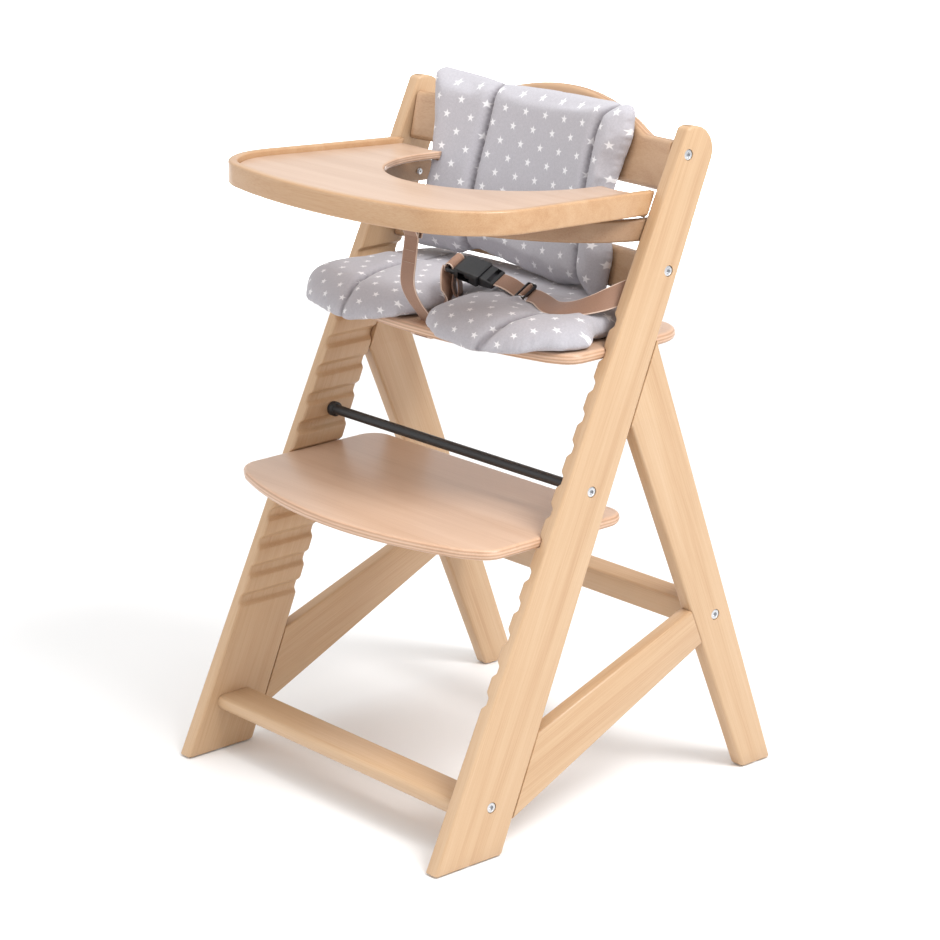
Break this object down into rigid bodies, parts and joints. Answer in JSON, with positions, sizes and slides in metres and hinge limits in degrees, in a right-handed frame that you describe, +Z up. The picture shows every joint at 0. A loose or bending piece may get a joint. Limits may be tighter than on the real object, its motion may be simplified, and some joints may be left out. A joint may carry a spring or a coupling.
{
  "type": "baby high chair",
  "caption": "Wooden grow-along high chair: A-shaped grooved side frames, sliding seat and footrest, curved back boards, guard bow, lift-off tray, star cushion and lap harness.",
  "frame": {"origin": "on the floor, at the middle of the box round the chair", "axes": "+Z up; -Y is the way the sitter faces; +X is the chair's own left side as the sitter sits"},
  "size_m": [0.49, 0.513, 0.7917],
  "materials": {
    "beech": "clear satin lacquer on solid beech",
    "beech_ply": "clear satin lacquer on beech plywood, layers visible on the edges",
    "zinc": "bright zinc plate",
    "black_metal": "satin black powder coat",
    "black_plastic": "moulded, fine grain",
    "star_cloth": "plain-weave cotton, grey with small white five-pointed stars",
    "webbing": "flat woven brown webbing",
    "felt": "pressed felt"
  },
  "bodies": {
    "frame": {"back_cushion": "star_cloth", "back_cushion_wing_left": "star_cloth", "back_cushion_wing_right": "star_cloth", "bow_loop": "webbing", "bow_screw_left": "zinc", "bow_screw_right": "zinc", "brace_left": "beech", "brace_right": "beech", "buckle_socket": "black_plastic", "crotch_strap_front": "webbing", "crotch_strap_rear": "webbing", "front_glide_left": "felt", "front_glide_right": "felt", "front_leg_left": "beech", "front_leg_right": "beech", "front_rail": "beech", "front_rail_bolt_left": "zinc", "front_rail_bolt_right": "zinc", "guard_bow": "beech_ply", "lower_back_board": "beech_ply", "lower_back_bolt_left": "zinc", "lower_back_bolt_right": "zinc", "rear_glide_left": "felt", "rear_glide_right": "felt", "rear_leg_left": "beech", "rear_leg_right": "beech", "rear_rail": "beech", "rear_rail_bolt_left": "zinc", "rear_rail_bolt_right": "zinc", "rod_bolt_left": "zinc", "rod_bolt_right": "zinc", "rod_collar_left": "black_metal", "rod_collar_right": "black_metal", "tie_rod": "black_metal", "upper_back_board": "beech_ply", "upper_back_bolt_left": "zinc", "upper_back_bolt_right": "zinc", "waist_strap": "webbing", "webbing_tail": "webbing"},
    "seat": {"seat_plate": "beech_ply", "seat_cushion": "star_cloth", "strap_anchor": "webbing"},
    "footrest": {"footrest_plate": "beech_ply"},
    "tray": {"tray_rim": "beech_ply", "tray_board": "beech_ply", "tray_clip_left": "black_plastic", "tray_clip_right": "black_plastic"},
    "plug": {"buckle_plug": "black_plastic", "strap_slider": "black_plastic", "waist_strap_tail": "webbing"},
    "latch_upper": {"buckle_latch_upper": "black_plastic"},
    "latch_lower": {"buckle_latch_lower": "black_plastic"}
  },
  "joints": [
    {"name": "seat_slide", "type": "slide", "parent": "frame", "child": "seat", "axis": [0, 1, 0], "range_m": [-0.018, 0.02]},
    {"name": "footrest_slide", "type": "slide", "parent": "frame", "child": "footrest", "axis": [0, 1, 0], "range_m": [-0.08, 0.025]},
    {"name": "tray_slide", "type": "slide", "parent": "frame", "child": "tray", "axis": [0, -0.9982, 0.0599], "range_m": [0, 0.12]},
    {"name": "plug_slide", "type": "slide", "parent": "frame", "child": "plug", "axis": [0.9017, 0.3484, -0.2562], "range_m": [0, 0.02]},
    {"name": "latch_upper_press", "type": "hinge", "parent": "plug", "child": "latch_upper", "pos_m": [0.03012, 0.02021, 0.59982], "axis": [0.3385, -0.2, 0.9195], "range_deg": [0, 8], "stiffness_Nm_per_rad": 0.1},
    {"name": "latch_lower_press", "type": "hinge", "parent": "plug", "child": "latch_lower", "pos_m": [0.03648, -0.00141, 0.59278], "axis": [0.3385, -0.2, 0.9195], "range_deg": [-8, 0], "stiffness_Nm_per_rad": 0.1}
  ]
}
